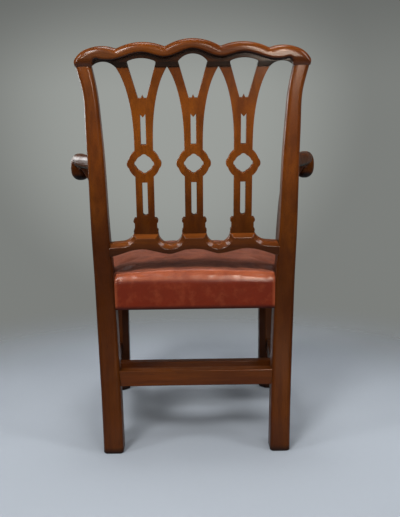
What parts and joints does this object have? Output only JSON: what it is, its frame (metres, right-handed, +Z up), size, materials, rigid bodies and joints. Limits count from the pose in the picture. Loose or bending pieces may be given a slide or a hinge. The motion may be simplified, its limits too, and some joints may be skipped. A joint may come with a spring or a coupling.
{
  "type": "child armchair",
  "caption": "Child's armchair with a serpentine crest rail, pierced splats, scrolled arms and a stuffed leather seat on square legs joined by stretchers.",
  "frame": {"origin": "on the floor, under the middle of the chair's box", "axes": "+X to the sitter's left, -Y to the front where the sitter faces, +Z up"},
  "size_m": [0.4484, 0.3876, 0.6823],
  "materials": {
    "mahogany": "French polished, worn",
    "beech_frame": "planed and left bare",
    "oxblood_leather": "waxed, worn at the edges",
    "hair": "curled hair",
    "hessian": "coarse plain weave",
    "webbing": "twill strap",
    "tack_iron": "blued",
    "screw_steel": "slotted, dull"
  },
  "bodies": {
    "root": {"left_rear_post": "mahogany", "right_rear_post": "mahogany", "crest_rail": "mahogany", "left_splat": "mahogany", "centre_splat": "mahogany", "right_splat": "mahogany", "lower_back_rail": "mahogany", "left_front_leg": "mahogany", "right_front_leg": "mahogany", "left_side_stretcher": "mahogany", "right_side_stretcher": "mahogany", "medial_stretcher": "mahogany", "rear_stretcher": "mahogany", "left_arm": "mahogany", "right_arm": "mahogany", "left_arm_support": "mahogany", "right_arm_support": "mahogany", "front_seat_rail": "beech_frame", "rear_seat_rail": "beech_frame", "left_side_seat_rail": "beech_frame", "right_side_seat_rail": "beech_frame", "left_front_corner_block": "beech_frame", "right_front_corner_block": "beech_frame", "left_rear_corner_block": "beech_frame", "right_rear_corner_block": "beech_frame", "leather_cover": "oxblood_leather", "hair_stuffing": "hair", "hessian_base": "hessian", "lengthwise_webbing": "webbing", "crosswise_webbing": "webbing", "cover_tacks": "tack_iron", "webbing_tacks": "tack_iron", "corner_block_screws": "screw_steel", "arm_support_screws": "screw_steel"}
  },
  "joints": []
}
